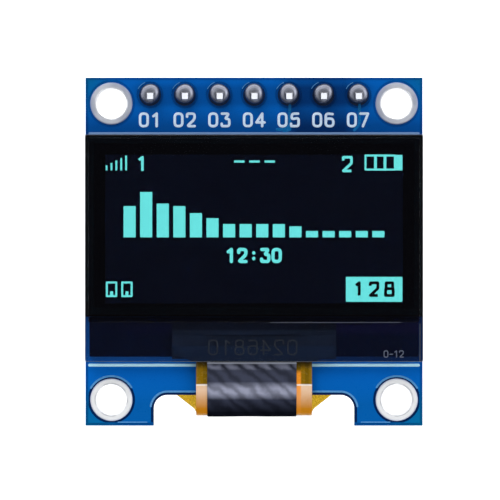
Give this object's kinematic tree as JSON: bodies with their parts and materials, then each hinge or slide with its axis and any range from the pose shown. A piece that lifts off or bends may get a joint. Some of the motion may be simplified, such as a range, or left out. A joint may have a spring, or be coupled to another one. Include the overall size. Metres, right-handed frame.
{
  "type": "small oled display module",
  "caption": "Small square display module: a glass dot-matrix panel on a blue circuit board with mounting holes and a row of header pins.",
  "frame": {"origin": "centre of the four mounting holes, on the board's rear face", "axes": "+Z out of the display, +Y towards the header row, +X to the viewer's right"},
  "size_m": [0.0248, 0.0254, 0.0113],
  "materials": {
    "solder_mask": "blue solder mask over copper and glass laminate, satin",
    "tin": "bright tin and solder",
    "pin_metal": "tin-plated brass",
    "white_ink": "screen-printed white ink",
    "black_nylon": "moulded black nylon",
    "black_foam": "black adhesive foam",
    "clear_glass": "polished soda-lime glass",
    "polarizer": "dark glossy polarizer film",
    "glow": "lit organic dots, aqua blue",
    "organic_film": "thin dark film",
    "absorber": "pale moisture absorber",
    "seal": "cured seal",
    "silicon": "bare silicon",
    "black_tape": "black tape with a soft sheen",
    "flex_film": "amber film over copper",
    "capacitor_body": "fired tan ceramic",
    "resistor_body": "black glazed ceramic",
    "black_epoxy": "moulded black epoxy"
  },
  "bodies": {
    "root": {"circuit_board": "solder_mask", "silkscreen_front": "white_ink", "header_pads": "tin", "header_housing": "black_nylon", "mounting_foam": "black_foam", "cap_glass": "clear_glass", "absorber_sheet": "absorber", "seal_bead": "seal", "front_glass": "clear_glass", "emitter_film": "organic_film", "lit_segments": "glow", "polarizer_film": "polarizer", "driver_chip": "silicon", "chip_shield_tape": "black_tape", "flex_cable": "flex_film", "flex_cover_tape": "black_tape", "flex_solder": "tin", "regulator_body": "black_epoxy", "regulator_leads": "tin", "diode_body": "black_epoxy", "diode_leads": "tin", "part_solder": "tin", "mount_ring_1": "tin", "mount_ring_2": "tin", "mount_ring_3": "tin", "mount_ring_4": "tin", "header_pin_1": "pin_metal", "solder_joint_1": "tin", "header_pin_2": "pin_metal", "solder_joint_2": "tin", "header_pin_3": "pin_metal", "solder_joint_3": "tin", "header_pin_4": "pin_metal", "solder_joint_4": "tin", "header_pin_5": "pin_metal", "solder_joint_5": "tin", "header_pin_6": "pin_metal", "solder_joint_6": "tin", "header_pin_7": "pin_metal", "solder_joint_7": "tin", "capacitor_1": "capacitor_body", "resistor_1": "resistor_body", "capacitor_2": "capacitor_body", "resistor_2": "resistor_body", "capacitor_3": "capacitor_body", "resistor_3": "resistor_body", "capacitor_4": "capacitor_body", "resistor_4": "resistor_body", "capacitor_5": "capacitor_body", "resistor_5": "resistor_body", "capacitor_6": "capacitor_body", "resistor_6": "resistor_body", "capacitor_7": "capacitor_body", "resistor_7": "resistor_body", "capacitor_8": "capacitor_body", "resistor_8": "resistor_body"}
  },
  "joints": []
}
